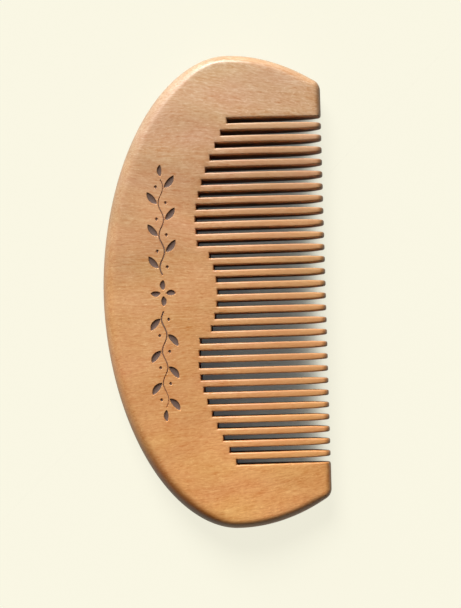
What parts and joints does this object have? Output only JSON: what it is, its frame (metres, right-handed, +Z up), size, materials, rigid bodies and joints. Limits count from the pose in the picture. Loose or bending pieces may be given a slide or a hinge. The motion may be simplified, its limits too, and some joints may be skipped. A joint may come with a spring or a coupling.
{
  "type": "wooden comb",
  "caption": "Half-moon wooden pocket comb: a flat board with a rounded spine and a row of sawn, tapered teeth between solid end guards.",
  "frame": {"origin": "middle of the comb's box, on the surface it lies on", "axes": "+X from the spine to the tooth tips, +Y along the comb's length, +Z up through its thickness, out of the face that the picture shows"},
  "size_m": [0.0542, 0.115, 0.01],
  "materials": {
    "wood": "satin, oiled, fine straight grain along the teeth"
  },
  "bodies": {
    "root": {"back": "wood", "end_guard_1": "wood", "end_guard_2": "wood", "tooth_01": "wood", "tooth_02": "wood", "tooth_03": "wood", "tooth_04": "wood", "tooth_05": "wood", "tooth_06": "wood", "tooth_07": "wood", "tooth_08": "wood", "tooth_09": "wood", "tooth_10": "wood", "tooth_11": "wood", "tooth_12": "wood", "tooth_13": "wood", "tooth_14": "wood", "tooth_15": "wood", "tooth_16": "wood", "tooth_17": "wood", "tooth_18": "wood", "tooth_19": "wood", "tooth_20": "wood", "tooth_21": "wood", "tooth_22": "wood", "tooth_23": "wood", "tooth_24": "wood", "tooth_25": "wood", "tooth_26": "wood", "tooth_27": "wood", "tooth_28": "wood"}
  },
  "joints": []
}
